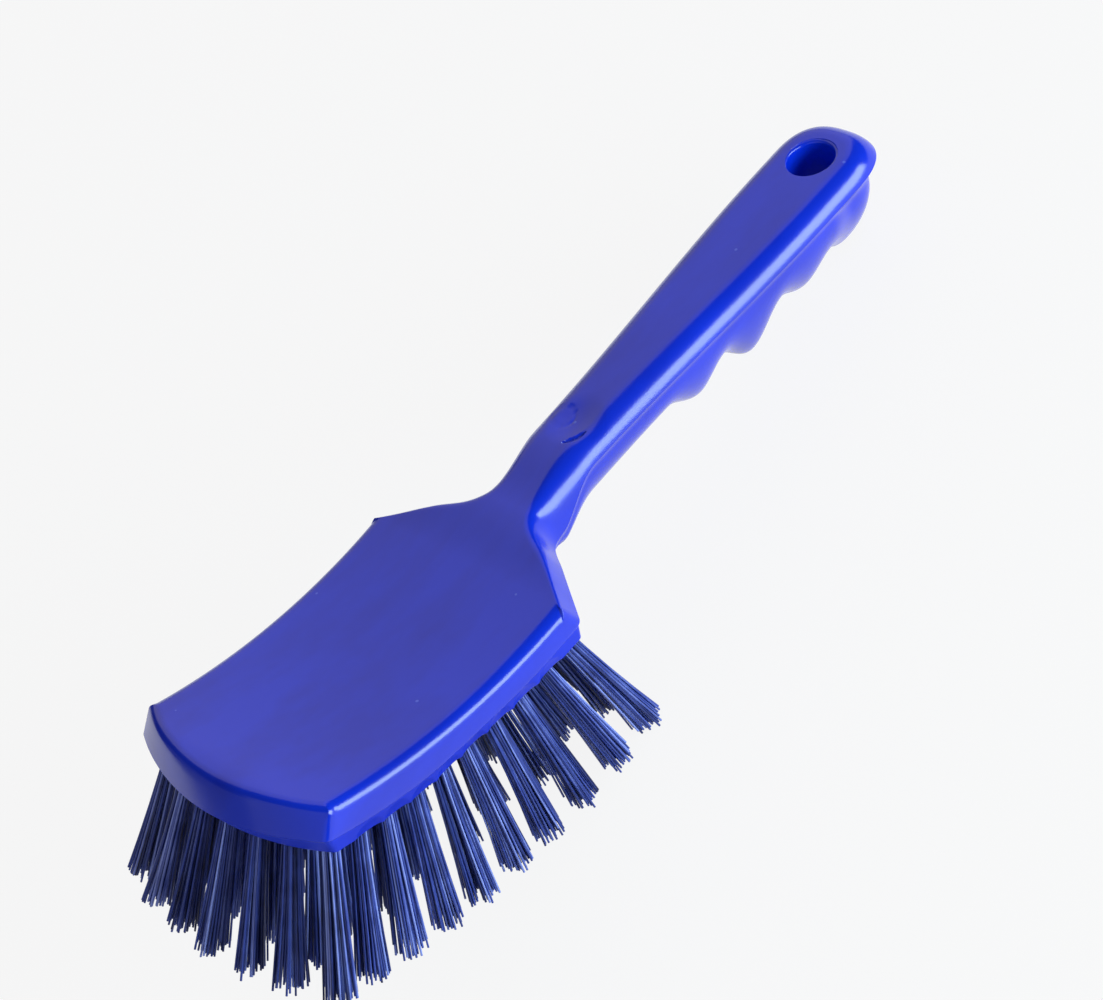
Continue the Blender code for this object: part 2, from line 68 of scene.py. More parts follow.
def addNode(tree, kind, settings=None, inputs=None, links=None):
    new = tree.nodes.new(kind)
    for name, value in (settings or {}).items():
        setattr(new, name, value)
    for name, value in (inputs or {}).items():
        new.inputs[name].default_value = value
    for name, source in (links or {}).items():
        tree.links.new(source, new.inputs[name])
    return new


def newMaterial(name):
    material = bpy.data.materials.new(name)
    material.use_nodes = True
    tree = material.node_tree
    tree.nodes.clear()
    return material, tree


def addPiece(name, points, faces, material, slot=None):
    # points are along the brush's own axes, in millimetres
    turn = np.array(toWorld)
    placed = np.asarray(points, float) @ turn[:3, :3].T + turn[:3, 3]
    mesh = bpy.data.meshes.new(name)
    mesh.from_pydata(placed.tolist(), [], faces)
    mesh.validate()
    mesh.materials.append(material)
    piece = bpy.data.objects.new(name, mesh)
    scene.collection.objects.link(piece)
    mesh.shade_smooth()
    if slot:
        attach(piece, "root")
    return piece


# Camera, fitted to the photograph along the brush's own axes
view = {
    "lens": 96.05,  # on a sensor 36 mm wide
    "place": (-165.54, -504.53, 519.71),
    "right": (0.6405469, -0.7036492, -0.3075345),
    "down": (-0.6723729, -0.3204477, -0.6672541),
    "clipStart": 0.01,
}
right, down = Vector(view["right"]), Vector(view["down"])
sight = Matrix((right, -down, right.cross(-down))).transposed()
camera = bpy.data.objects.new("camera", bpy.data.cameras.new("camera"))
camera.data.lens = view["lens"]
camera.data.clip_start = view["clipStart"]
camera.matrix_world = (Matrix.Translation(toWorld @ Vector(view["place"]))
                       @ Matrix.Rotation(math.radians(stance["tilt"]), 4, "Y") @ sight.to_4x4())
scene.collection.objects.link(camera)
scene.camera = camera

# Blue polypropylene, injection moulded in a polished mould: a deep saturated blue under a clear
# even gloss, with the faintest orange peel, flow streaks along the handle and fine scratches
plastic = {
    "colour": "#0833DC",
    "streakColour": "#082BC8",
    "speckColour": "#5A78F0",
    # roughness and specular level of the wiped, slightly waxy skin, and of the bristle pad, whose much
    # lower gloss is painted shade: it keeps the lip under the wall darker, as its shade does
    "polish": (0.16, 0.72),
    "padShadeFinish": (0.34, 0.25),
    "hazeSpread": 0.08,     # how much rougher the streaks are
    "ior": 1.49,
    "streakSize": 18.0,     # mm
    "streakStretch": 0.35,  # less than 1 draws the streaks out along the handle
    "streakRange": (0.4, 0.68),
    "peelSize": 2.6,        # mm, about twice the real one, which is too fine to show
    "peelHeight": 0.012,    # mm
    "speckSize": 12.0,      # mm between the pale dust specks
    "speckRange": (0.045, 0.03),  # of that size, from bare to speck: each is about 1 mm wide
    "speckStrength": 0.6,
    "scratchSpacing": (33.3, 1.613, 5.0),  # mm along, across and down
    "scratchTurn": 0.9,     # radians
    "scratchRange": (0.86, 0.97),
    "scratchHeight": 0.02,  # mm
    "scratchHaze": 0.25,
    "patchSize": 22.2,      # mm, of the few patches that show scratches
    "patchRange": (0.6, 0.7),
}


def handlingScratches(tree, spot):
    # thin ridges of a stretched noise, let through in a few patches only
    p = plastic
    turn = (0.0, 0.0, p["scratchTurn"])
    spacing = tuple(patternScale(size) for size in p["scratchSpacing"])
    skewed = addNode(tree, "ShaderNodeMapping", inputs={"Rotation": turn, "Scale": spacing},
                     links={"Vector": spot})
    line = addNode(tree, "ShaderNodeTexNoise", {"noise_type": "RIDGED_MULTIFRACTAL"},
                   {"Scale": 1.0, "Detail": 1.0}, {"Vector": skewed.outputs["Vector"]})
    thin = addNode(tree, "ShaderNodeMapRange",
                   inputs={"From Min": p["scratchRange"][0], "From Max": p["scratchRange"][1]},
                   links={"Value": line.outputs["Fac"]})
    patch = addNode(tree, "ShaderNodeTexNoise", inputs={"Scale": patternScale(p["patchSize"]), "Detail": 1.0},
                    links={"Vector": spot})
    patchShare = addNode(tree, "ShaderNodeMapRange",
                         inputs={"From Min": p["patchRange"][0], "From Max": p["patchRange"][1]},
                         links={"Value": patch.outputs["Fac"]})
    return addNode(tree, "ShaderNodeMath", {"operation": "MULTIPLY"},
                   links={0: thin.outputs["Result"], 1: patchShare.outputs["Result"]})


def mouldedPolypropylene(name, finish):
    p = plastic
    roughness, specularLevel = finish
    material, tree = newMaterial(name)
    spot = addNode(tree, "ShaderNodeTexCoord").outputs["Object"]
    stretched = addNode(tree, "ShaderNodeMapping", inputs={"Scale": (p["streakStretch"], 1.0, 1.0)},
                        links={"Vector": spot})
    streak = addNode(tree, "ShaderNodeTexNoise",
                     inputs={"Scale": patternScale(p["streakSize"]), "Detail": 4.0, "Roughness": 0.55},
                     links={"Vector": stretched.outputs["Vector"]})
    streakShare = addNode(tree, "ShaderNodeMapRange",
                          inputs={"From Min": p["streakRange"][0], "From Max": p["streakRange"][1]},
                          links={"Value": streak.outputs["Fac"]})
    colour = addNode(tree, "ShaderNodeMix", {"data_type": "RGBA"},
                     {"A": hexColour(p["colour"]), "B": hexColour(p["streakColour"])},
                     {"Factor": streakShare.outputs["Result"]})
    speck = addNode(tree, "ShaderNodeTexVoronoi", inputs={"Scale": patternScale(p["speckSize"])},
                    links={"Vector": spot})
    speckShare = addNode(tree, "ShaderNodeMapRange",
                         inputs={"From Min": p["speckRange"][0], "From Max": p["speckRange"][1],
                                 "To Max": p["speckStrength"]},
                         links={"Value": speck.outputs["Distance"]})
    specked = addNode(tree, "ShaderNodeMix", {"data_type": "RGBA"}, {"B": hexColour(p["speckColour"])},
                      {"Factor": speckShare.outputs["Result"], "A": colour.outputs["Result"]})
    scratch = handlingScratches(tree, spot)
    # roughness drifts with the streaks and rises where it is scratched
    haze = addNode(tree, "ShaderNodeMapRange",
                   inputs={"To Min": roughness, "To Max": roughness + p["hazeSpread"]},
                   links={"Value": streak.outputs["Fac"]})
    worn = addNode(tree, "ShaderNodeMath", {"operation": "MULTIPLY_ADD"}, {1: p["scratchHaze"]},
                   {0: scratch.outputs["Value"], 2: haze.outputs["Result"]})
    peel = addNode(tree, "ShaderNodeTexNoise", inputs={"Scale": patternScale(p["peelSize"]), "Detail": 2.0},
                   links={"Vector": spot})
    peelBump = addNode(tree, "ShaderNodeBump", inputs={"Strength": 1.0, "Distance": p["peelHeight"] * mm},
                       links={"Height": peel.outputs["Fac"]})
    bump = addNode(tree, "ShaderNodeBump", {"invert": True},
                   {"Strength": 1.0, "Distance": p["scratchHeight"] * mm},
                   {"Height": scratch.outputs["Value"], "Normal": peelBump.outputs["Normal"]})
    shader = addNode(tree, "ShaderNodeBsdfPrincipled",
                     inputs={"IOR": p["ior"], "Specular IOR Level": specularLevel},
                     links={"Base Color": specked.outputs["Result"], "Roughness": worn.outputs["Value"],
                            "Normal": bump.outputs["Normal"]})
    addNode(tree, "ShaderNodeOutputMaterial", links={"Surface": shader.outputs["BSDF"]})
    return material


bodyMaterial = mouldedPolypropylene("mouldedPolypropylene", plastic["polish"])
# the pad's copy of the same blue plastic, with less gloss as painted shade on the lip
shadedPadMaterial = mouldedPolypropylene("padShadePolypropylene", plastic["padShadeFinish"])
print("moulded polypropylene ready")

# Moulded body. It follows the CAD solid, apart from the deeper front wall, the turn of the grip's
# edge, the cove under the parting line, the keel's section and the place of the thumb dimple
body = {
    # plan outline, with the radius of the head's corners at the foot of the wall
    "length": 270.0, "frontWidth": 73.6, "frontArcDepth": 10.0, "rearWidth": 76.0, "headLength": 100.0,
    "frontCorner": 3.0, "cornerShrink": 0.3, "rearCorner": 3.0, "leastCorner": 0.25,
    "shoulderLength": 10.6, "shoulderWidth": 45.0, "shoulderPull": 0.42,
    "neckStart": 121.0, "neckStartWidth": 25.2, "neckWaist": 138.0, "neckWaistWidth": 23.4,
    "gripWidest": 245.0, "gripWidth": 32.2, "buttLength": 18.0, "buttRound": 2.6,
    # side profile of the top
    "dishRadius": 181.0, "dishLow": 81.0, "dishDrop": 12.7, "frontDroop": 3.6, "frontDroopLength": 12.0,
    "dishEnd": 98.0, "neckLow": 117.0, "neckDrop": 8.4, "gripStart": 138.0, "gripStartDrop": 4.3,
    # hanging hole
    "holePlace": 252.8, "holeRadius": 7.0, "holeFlare": 0.9, "holeSides": 64, "flareStep": 15,
    "cutterDepth": 40.0, "cutterRise": 1.0, "cutterOverhang": 0.6,
    # wall of the head: slope in degrees and radius of the top edge
    "frontWall": (53.0, 4.3), "sideWall": (82.0, 4.3), "shoulderWall": (67.0, 1.3),
    "wallHeight": 7.6, "slabEdge": 0.6, "underStart": 3.5, "underEnd": 14.0,
    "frontDeeper": 1.4, "deeperFrom": 66.0, "deeperTo": 36.0,
    # edge of the grip, parting line and the cove under it; the head blends into them
    "gripEdgeWidth": 7.0, "gripTurn": 62.0, "edgeTurn": 0.85,
    "neckPartingDrop": 11.0, "partingDrop": 5.8, "partingSettled": 140.0,
    "partingLedge": 0.7, "partingCove": 2.4, "buttLedge": 3.4, "buttCove": 6.2,
    "blendStart": 104.0, "blendEnd": 124.0,
    # keel with its finger grooves: places along the brush and depths
    "keelWidth": 9.0, "keelRound": 1.45, "buttKeelRound": 2.1,
    "keel": ((136.0, 18.6), (170.0, 18.2), (183.5, 25.2), (194.0, 20.4), (205.5, 29.4), (218.5, 22.0),
             (230.0, 27.2), (240.5, 23.8), (251.5, 29.2)),
    # marks pressed into the top
    "dimpleMiddle": (146.5, -1.0), "dimpleRadius": 9.5, "dimpleDepth": 1.2,
    "gateMiddle": (145.9, 3.7), "gateRadius": 3.4, "gateDepth": 0.2, "gateWidth": 0.4,
    "crescentMiddle": (141.5, -4.3), "crescentAlong": (0.886, -0.463), "crescentLength": 7.8,
    "crescentBow": 1.8, "crescentDepth": 0.6, "crescentSkew": 0.6,
    "sharpAngle": 25,
}
# stations along the outline and rows down the section; settle is how many times the place of a
# corner is worked out, each from the last
fine = {"arc": 44, "corner": 8, "side": 64, "shoulder": 14, "blend": 34, "neck": 76, "grip": 120,
        "butt": 44, "top": 22, "edge": 18, "wall": 4, "ledge": 6, "under": 18, "neckEnd": 140.0,
        "settle": 5}


def clamp(value):
    return min(max(value, 0.0), 1.0)


def mix(a, b, t):
    return a + (b - a) * t


def ease(place, start, end):
    t = clamp((place - start) / (end - start))
    return t * t * (3 - 2 * t)


def hermite(place, start, startValue, startSlope, end, endValue, endSlope):
    span = end - start
    t = (place - start) / span
    keep = 1 - t
    return (startValue * keep * keep * (1 + 2 * t) + startSlope * span * t * keep * keep
            + endValue * t * t * (1 + 2 * keep) - endSlope * span * t * t * keep)


gripSlope = body["gripStartDrop"] / (body["holePlace"] - body["gripStart"])


def dishHeight(x):
    b = body
    droopShare = max(1 - x / b["frontDroopLength"], 0.0)
    return (b["dishRadius"] - math.sqrt(b["dishRadius"] ** 2 - (x - b["dishLow"]) ** 2) - b["dishDrop"]
            - b["frontDroop"] * droopShare ** 2)


def topHeight(x):
    b = body
    if x < b["dishEnd"]:
        return dishHeight(x)
    reach = b["dishEnd"] - b["dishLow"]
    slope = reach / math.sqrt(b["dishRadius"] ** 2 - reach ** 2)
    if x < b["neckLow"]:
        return hermite(x, b["dishEnd"], dishHeight(b["dishEnd"]), slope, b["neckLow"], -b["neckDrop"], 0.0)
    if x < b["gripStart"]:
        return hermite(x, b["neckLow"], -b["neckDrop"], 0.0, b["gripStart"], -b["gripStartDrop"], gripSlope)
    return -gripSlope * (b["holePlace"] - x)


def keelDepth(x):
    keel = body["keel"]
    if x <= keel[0][0]:
        return keel[0][1]
    for (start, low), (end, high) in zip(keel, keel[1:]):
        if x < end:
            return mix(low, high, ease(x, start, end))
    return keel[-1][1]


arcRadius = (body["frontWidth"] ** 2 / 4 + body["frontArcDepth"] ** 2) / (2 * body["frontArcDepth"])
# the shoulder's straight edge in plan, with its direction and its outward side
shoulderTop = Vector((body["headLength"], body["rearWidth"] / 2))
shoulderFoot = Vector((body["headLength"] + body["shoulderLength"], body["shoulderWidth"] / 2))
shoulderAlong = (shoulderFoot - shoulderTop).normalized()
shoulderOut = Vector((-shoulderAlong.y, shoulderAlong.x))


def sideHalfWidth(x):
    b = body
    t = (x - b["frontArcDepth"]) / (b["headLength"] - b["frontArcDepth"])
    return mix(b["frontWidth"], b["rearWidth"], t) / 2


def gripHalfWidth(x):
    b = body
    if x < b["neckWaist"]:
        slope = (b["neckWaistWidth"] - b["neckStartWidth"]) / (b["neckWaist"] - b["neckStart"])
        return hermite(x, b["neckStart"], b["neckStartWidth"] / 2, slope, b["neckWaist"],
                       b["neckWaistWidth"] / 2, 0.0)
    if x < b["gripWidest"]:
        return hermite(x, b["neckWaist"], b["neckWaistWidth"] / 2, 0.0, b["gripWidest"],
                       b["gripWidth"] / 2, 0.0)
    return b["gripWidth"] / 2


def gripNormal(x):
    step = 0.1
    return Vector(((gripHalfWidth(x - step) - gripHalfWidth(x + step)) / (2 * step), 1.0)).normalized()


def roundedCorner(corner, towardLast, towardNext, radius):
    run = radius * math.tan((math.pi - towardLast.angle(towardNext)) / 2)
    start, end = corner + towardLast * run, corner + towardNext * run
    points = []
    for i in range(fine["corner"] + 1):
        t = i / fine["corner"]
        points.append(start * (1 - t) ** 2 + corner * 2 * t * (1 - t) + end * t ** 2)
    return points, run


def frontEdge(frontInset, sideInset):
    # the front's arc with its rounded corner, and where the side starts
    b = body
    radius = arcRadius - frontInset
    corner = Vector((b["frontArcDepth"], 0.0))
    for _ in range(fine["settle"]):
        corner.y = sideHalfWidth(corner.x) - sideInset
        corner.x = arcRadius - math.sqrt(radius ** 2 - corner.y ** 2)
    tangent = Vector((-corner.y, corner.x - arcRadius)).normalized()
    rounding = max(b["frontCorner"] - frontInset * b["cornerShrink"], b["frontCorner"] * b["leastCorner"])
    turn, run = roundedCorner(corner, tangent, Vector((1.0, 0.0)), rounding)
    lastAngle = math.asin(corner.y / radius) - run / radius
    angles = [lastAngle * i / fine["arc"] for i in range(fine["arc"])]
    arc = [Vector((arcRadius - radius * math.cos(a), radius * math.sin(a))) for a in angles]
    return arc + turn, corner.x + run


def rearCorner(sideInset, shoulderInset):
    # the rounded corner between side and shoulder, and where the side ends
    b = body
    corner = Vector((b["headLength"], 0.0))
    foot = shoulderTop - shoulderOut * shoulderInset
    for _ in range(fine["settle"]):
        corner.y = sideHalfWidth(corner.x) - sideInset
        corner.x = foot.x + (corner.y - foot.y) * shoulderAlong.x / shoulderAlong.y
    rounding = max(b["rearCorner"] - sideInset, b["rearCorner"] * b["leastCorner"])
    turn, run = roundedCorner(corner, Vector((-1.0, 0.0)), shoulderAlong, rounding)
    return turn, corner.x - run


def shoulderEdge(cornerEnd, insets):
    edge = []
    for i in range(1, fine["shoulder"] + 1):
        t = i / fine["shoulder"]
        place = shoulderTop.lerp(shoulderFoot, t)
        edge.append(mix(cornerEnd, shoulderFoot - shoulderOut * insets(place.x), t))
    return edge


def neckCurve(insets):
    # a cubic curve from the shoulder's foot to the start of the neck
    b = body
    neck = Vector((b["neckStart"], gripHalfWidth(b["neckStart"])))
    neckOut = gripNormal(b["neckStart"])
    alongNeck = Vector((neckOut.y, -neckOut.x))
    pull = (neck - shoulderFoot).length * b["shoulderPull"]
    h = (shoulderFoot, shoulderFoot + shoulderAlong * pull, neck - alongNeck * pull, neck)
    curve = []
    for i in range(1, fine["blend"] + 1):
        t = i / fine["blend"]
        u = 1 - t
        point = h[0] * u ** 3 + h[1] * 3 * u * u * t + h[2] * 3 * u * t * t + h[3] * t ** 3
        heading = ((h[1] - h[0]) * u * u + (h[2] - h[1]) * 2 * u * t + (h[3] - h[2]) * t * t).normalized()
        curve.append(point - Vector((-heading.y, heading.x)) * insets(point.x))
    return curve


def gripEdge(insets):
    # one side of the handle, with its half of the butt, whose end is a superellipse
    b = body
    buttStart = b["length"] - b["buttLength"]
    places = [mix(b["neckStart"], fine["neckEnd"], i / fine["neck"]) for i in range(1, fine["neck"] + 1)]
    places += [mix(fine["neckEnd"], buttStart, i / fine["grip"]) for i in range(1, fine["grip"] + 1)]
    edge = [Vector((x, gripHalfWidth(x))) - gripNormal(x) * insets(x) for x in places]
    sideReach = gripHalfWidth(buttStart) - insets(buttStart)
    endReach = sideReach * b["buttLength"] / gripHalfWidth(buttStart)
    power = 2 / b["buttRound"]
    for i in range(1, fine["butt"] + 1):
        angle = math.pi / 2 * i / fine["butt"]
        edge.append(Vector((buttStart + endReach * math.sin(angle) ** power,
                            sideReach * max(math.cos(angle), 0.0) ** power)))
    edge[-1].y = 0.0
    return edge


def planRing(frontInset, sideInset, insets):
    # one side's outline from the front middle to the butt, moved inwards; from the shoulder on by
    # insets(x). Each point has the shares of the front and of the rear in its section
    front, sideStart = frontEdge(frontInset, sideInset)
    turn, sideEnd = rearCorner(sideInset, insets(body["headLength"]))
    places = [mix(sideStart, sideEnd, i / fine["side"]) for i in range(1, fine["side"])]
    side = [Vector((x, sideHalfWidth(x) - sideInset)) for x in places]
    rear = turn + shoulderEdge(turn[-1], insets) + neckCurve(insets) + gripEdge(insets)
    frontEnd = fine["arc"] + fine["corner"]
    rearStart = len(front) + len(side)
    return [(p, clamp((frontEnd - i) / fine["corner"]), clamp((i - rearStart) / fine["corner"]))
            for i, p in enumerate(front + side + rear)]


def headShape(stage, t, wall):
    # inset and depth of a row of the head; t runs along the stage
    b = body
    slope, radius = math.radians(wall[0]), wall[1]
    start = b["wallHeight"] / math.tan(slope) + radius * math.tan(slope / 2)
    if stage == "edge":
        return start - radius * math.sin(slope * t), radius * (1 - math.cos(slope * t))
    if stage == "wall":
        return (mix(start - radius * math.sin(slope), 0.0, t),
                mix(radius * (1 - math.cos(slope)), b["wallHeight"], t))
    if stage == "ledge":
        angle = math.pi / 2 * t
        return b["slabEdge"] * (1 - math.cos(angle)), b["wallHeight"] + b["slabEdge"] * math.sin(angle)
    return (mix(b["underStart"], b["underEnd"], (t - 1 / fine["under"]) / (1 - 1 / fine["under"])),
            b["wallHeight"] + b["slabEdge"])


def gripShape(stage, t, x):
    # the same for a row of the handle
    b = body
    parting = mix(b["neckPartingDrop"], b["partingDrop"], ease(x, b["neckStart"], b["partingSettled"]))
    if stage in ("edge", "wall"):
        # one turn down to the parting line, most of it in the rows of the edge
        turned = math.radians(b["gripTurn"])
        angle = turned * (b["edgeTurn"] * t if stage == "edge" else mix(b["edgeTurn"], 1.0, t))
        return (b["gripEdgeWidth"] * (1 - math.sin(angle) / math.sin(turned)),
                parting * (1 - math.cos(angle)) / (1 - math.cos(turned)))
    # a cove runs along under the parting line and grows deeper round the butt
    share = ease(x, b["keel"][-2][0], b["keel"][-1][0])
    ledge, cove = mix(b["partingLedge"], b["buttLedge"], share), mix(b["partingCove"], b["buttCove"], share)
    if stage == "ledge":
        return ledge * t * (2 - t), parting + cove * t
    narrowing = gripHalfWidth(max(x, b["neckStart"])) - b["keelWidth"] / 2
    rounding = mix(b["keelRound"], b["buttKeelRound"], share)
    angle = math.pi / 2 * t
    return (mix(narrowing, ledge, max(math.cos(angle), 0.0) ** rounding),
            mix(parting + cove, keelDepth(x), math.sin(angle)))


def rearShape(stage, t, x):
    share = ease(x, body["blendStart"], body["blendEnd"])
    if share >= 1:
        return gripShape(stage, t, x)
    head = headShape(stage, t, body["shoulderWall"])
    if share <= 0:
        return head
    grip = gripShape(stage, t, x)
    return mix(head[0], grip[0], share), mix(head[1], grip[1], share)


def pressedMarks(x, y):
    # the thumb dimple, with the gate's ring and a crescent pressed into it
    b = body
    depth = 0.0
    reach = math.hypot(x - b["dimpleMiddle"][0], y - b["dimpleMiddle"][1]) / b["dimpleRadius"]
    if reach < 1:
        depth += b["dimpleDepth"] * (1 - reach ** 2) ** 2
    dx, dy = x - b["gateMiddle"][0], y - b["gateMiddle"][1]
    off = (math.hypot(dx, dy) - b["gateRadius"]) / b["gateWidth"]
    depth += b["gateDepth"] * math.exp(-off * off)
    dx, dy = x - b["crescentMiddle"][0], y - b["crescentMiddle"][1]
    ux, uy = b["crescentAlong"]
    along, beside = dx * ux + dy * uy, dx * uy - dy * ux
    if abs(along) < b["crescentLength"] / 2:
        bow = b["crescentBow"] * (1 - (2 * along / b["crescentLength"]) ** 2)
        if 0 < beside < bow:
            depth += b["crescentDepth"] * math.sin(math.pi * (beside / bow) ** b["crescentSkew"])
    return depth


def deepening(x):
    # the wall reaches further down along the front half
    return body["frontDeeper"] * ease(-x, -body["deeperFrom"], -body["deeperTo"])


def bodyRows():
    # rows from the middle of the top, over the edge and down to the middle of the underside
    stages = [("edge", i / fine["edge"]) for i in range(fine["edge"] + 1)]
    stages += [(s, i / fine[s]) for s in ("wall", "ledge", "under") for i in range(1, fine[s] + 1)]
    rows = []
    for stage, t in stages:
        front, side = headShape(stage, t, body["frontWall"]), headShape(stage, t, body["sideWall"])
        row = []
        for p, frontShare, rearShare in planRing(front[0], side[0], lambda x: rearShape(stage, t, x)[0]):
            depth = mix(mix(side[1], front[1], frontShare), rearShape(stage, t, p.x)[1], rearShare)
            depth += deepening(p.x) * {"edge": 0.0, "wall": t}.get(stage, 1.0)
            row.append((p.x, max(p.y, 0.0), topHeight(p.x) - depth))
        rows.append(row)
    first = rows[0]
    rows = [[(x, y * i / fine["top"], z) for x, y, z in first] for i in range(fine["top"])] + rows
    rows.append([(x, 0.0, z) for x, y, z in rows[-1]])
    return rows


def mirroredSkin(rows, marked):
    # both halves of the body, which share their middle points; the first rows, marked of them,
    # take the pressed marks
    points, faces, ids = [], [], {}

    def pointId(x, y, z, pressed):
        key = (round(x, 4), round(y, 4), round(z, 4))
        if key not in ids:
            ids[key] = len(points)
            points.append((x, y, z - (pressedMarks(x, y) if pressed else 0.0)))
        return ids[key]

    for side in (1, -1):
        grid = [[pointId(x, y * side, z, k < marked) for x, y, z in row] for k, row in enumerate(rows)]
        for upper, lower in zip(grid, grid[1:]):
            for i in range(len(upper) - 1):
                loop = [upper[i], upper[i + 1], lower[i + 1], lower[i]]
                loop = [v for k, v in enumerate(loop) if v != loop[k - 1]]
                if len(loop) > 2:
                    faces.append(loop if side > 0 else loop[::-1])
    return points, faces


def holeCutter():
    # a turned shape as wide as the hole, flared at the top
    b = body
    radius, flare, sides = b["holeRadius"], b["holeFlare"], b["holeSides"]
    profile = [(radius, -b["cutterDepth"])]
    for angle in (math.radians(d) for d in range(0, 91, b["flareStep"])):
        profile.append((radius + flare * (1 - math.cos(angle)), -flare * (1 - math.sin(angle))))
    profile.append((radius + flare + b["cutterOverhang"], b["cutterRise"]))
    turns = [math.tau * k / sides for k in range(sides)]
    points = [(b["holePlace"] + r * math.cos(a), r * math.sin(a), z) for r, z in profile for a in turns]
    faces = []
    for start in range(0, len(points) - sides, sides):
        for k in range(sides):
            m = (k + 1) % sides
            faces.append([start + k, start + m, start + sides + m, start + sides + k])
    faces.append(list(range(sides))[::-1])
    faces.append(list(range(len(points) - sides, len(points))))
    return addPiece("holeCutter", points, faces, bodyMaterial)


def mouldedBody():
    points, faces = mirroredSkin(bodyRows(), fine["top"] + fine["edge"] + 1)
    piece = addPiece("brushBody", points, faces, bodyMaterial, "blue_polypropylene")
    bm = bmesh.new()
    bm.from_mesh(piece.data)
    bmesh.ops.recalc_face_normals(bm, faces=bm.faces)
    bm.to_mesh(piece.data)
    bm.free()
    cutter = holeCutter()
    cut = piece.modifiers.new("hangingHole", "BOOLEAN")
    cut.operation = "DIFFERENCE"
    cut.solver = "EXACT"
    cut.object = cutter
    shaped = piece.evaluated_get(bpy.context.evaluated_depsgraph_get())
    pierced = bpy.data.meshes.new_from_object(shaped)
    piece.modifiers.clear()
    piece.data = pierced
    bpy.data.objects.remove(cutter)
    pierced.shade_smooth()
    pierced.set_sharp_from_angle(angle=math.radians(body["sharpAngle"]))
    return piece


brushBody = mouldedBody()
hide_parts("brush_body")
print("body moulded:", len(brushBody.data.polygons), "faces")

# Bristle pad: the slab under the head. Its lip lies just inside the wall and is scooped out
# beside each outer tuft of the sides
pad = {
    "faceRadius": 214.0, "faceLow": 88.0, "faceDrop": 26.0, "rear": 101.6,
    "frontSag": 2.3, "frontSagFrom": 62.0, "frontSagTo": 36.0, "noseSag": 1.4, "noseSagFrom": 16.0,
    "lipInset": 0.6, "lipUndercut": 1.0, "lipHidden": 0.2,
    "scoopLength": 9.0, "scoopHeight": 3.9, "scoopDepth": 0.7, "scoopSlope": 0.7, "scoopEnds": 4,
    "rowCounts": (7, 6, 5, 6, 5, 6, 5, 6, 5, 7), "firstRowCorner": 12.6, "lastRow": 96.8,
    "rowBunching": 1.5, "fieldWidth": 61.4, "firstRowBend": 6.0,
    "fanFocus": 78.9, "fanAlong": 96.0, "fanAcross": 106.0,
    "holeRadius": 2.4, "holeDepth": 3.0, "holeSides": 20,
    "edgeRound": 0.5, "edgeSteps": 4, "wallRows": 12, "spacing": 0.5, "sharpAngle": 38,
}


def faceHeight(x):
    p = pad
    sag = (p["frontSag"] * ease(-x, -p["frontSagFrom"], -p["frontSagTo"])
           + p["noseSag"] * ease(-x, -p["noseSagFrom"], 0.0))
    return p["faceRadius"] - math.sqrt(p["faceRadius"] ** 2 - (x - p["faceLow"]) ** 2) - p["faceDrop"] - sag


def tuftPlace(row, number):
    across = pad["fieldWidth"] * (number / (pad["rowCounts"][row] - 1) - 0.5)
    share = row / (len(pad["rowCounts"]) - 1)
    bend = pad["firstRowBend"] * (1 - share) * (1 - (2 * across / pad["fieldWidth"]) ** 2)
    bunching = pad["rowBunching"] * (1 - (2 * share - 1) ** 2)
    x = mix(pad["firstRowCorner"], pad["lastRow"], share) - bend - bunching
    return Vector((x, across, faceHeight(x)))


def tuftDirection(place):
    # the tufts fan out from the head
    spread = Vector(((place.x - pad["fanFocus"]) / pad["fanAlong"], place.y / pad["fanAcross"], -1.0))
    return spread.normalized()


def tuftFrame(place):
    turned = tuftDirection(place).to_track_quat("Z", "Y").to_matrix().to_4x4()
    return Matrix.Translation(place) @ turned


tuftPlaces = [tuftPlace(row, number) for row, count in enumerate(pad["rowCounts"]) for number in range(count)]


def lipOutline():
    ring = [point[0] for point in planRing(pad["lipInset"], pad["lipInset"], lambda x: pad["lipInset"])]
    side = [p for p in ring if p.x < pad["rear"]]
    ahead = ring[len(side)]
    side.append(side[-1].lerp(ahead, (pad["rear"] - side[-1].x) / (ahead.x - side[-1].x)))
    corners = side + [Vector((p.x, -p.y)) for p in reversed(side[1:])]
    outline = []
    for i, p in enumerate(corners):
        q = corners[(i + 1) % len(corners)]
        parts = max(round((q - p).length / pad["spacing"]), 1)
        outline += [p.lerp(q, k / parts) for k in range(parts)]
    return outline


def insetOutline(outline, distance):
    # a closed outline moved inwards
    area = sum(p.x * q.y - q.x * p.y for p, q in zip(outline, outline[1:] + outline[:1]))
    side = 1 if area > 0 else -1
    moved = []
    for i, p in enumerate(outline):
        ahead = (outline[(i + 1) % len(outline)] - p).normalized()
        behind = (p - outline[i - 1]).normalized()
        along = (ahead + behind).normalized()
        inward = Vector((-along.y, along.x)) * side
        moved.append(p + inward * distance)
    return moved


def scoopDepth(p, height):
    # how deep the lip is scooped at a place of its outline, beside the nearest outer tuft
    depth = 0.0
    for row in range(1, len(pad["rowCounts"]) - 1):
        place = tuftPlace(row, 0)
        along = (p.x - place.x) / (pad["scoopLength"] / 2)
        if abs(along) < 1 and p.x > pad["firstRowCorner"]:
            # its back slopes in from an arched top to the open foot
            up = (height - place.z) / (pad["scoopHeight"] * math.sqrt(1 - along ** 2))
            back = max(1 - up, 0.0) ** pad["scoopSlope"]
            depth = max(depth, pad["scoopDepth"] * back * (1 - along ** pad["scoopEnds"]))
    return depth


def joinLoops(bm, upper, lower):
    for i in range(len(upper)):
        j = (i + 1) % len(upper)
        bm.faces.new((upper[i], upper[j], lower[j], lower[i]))


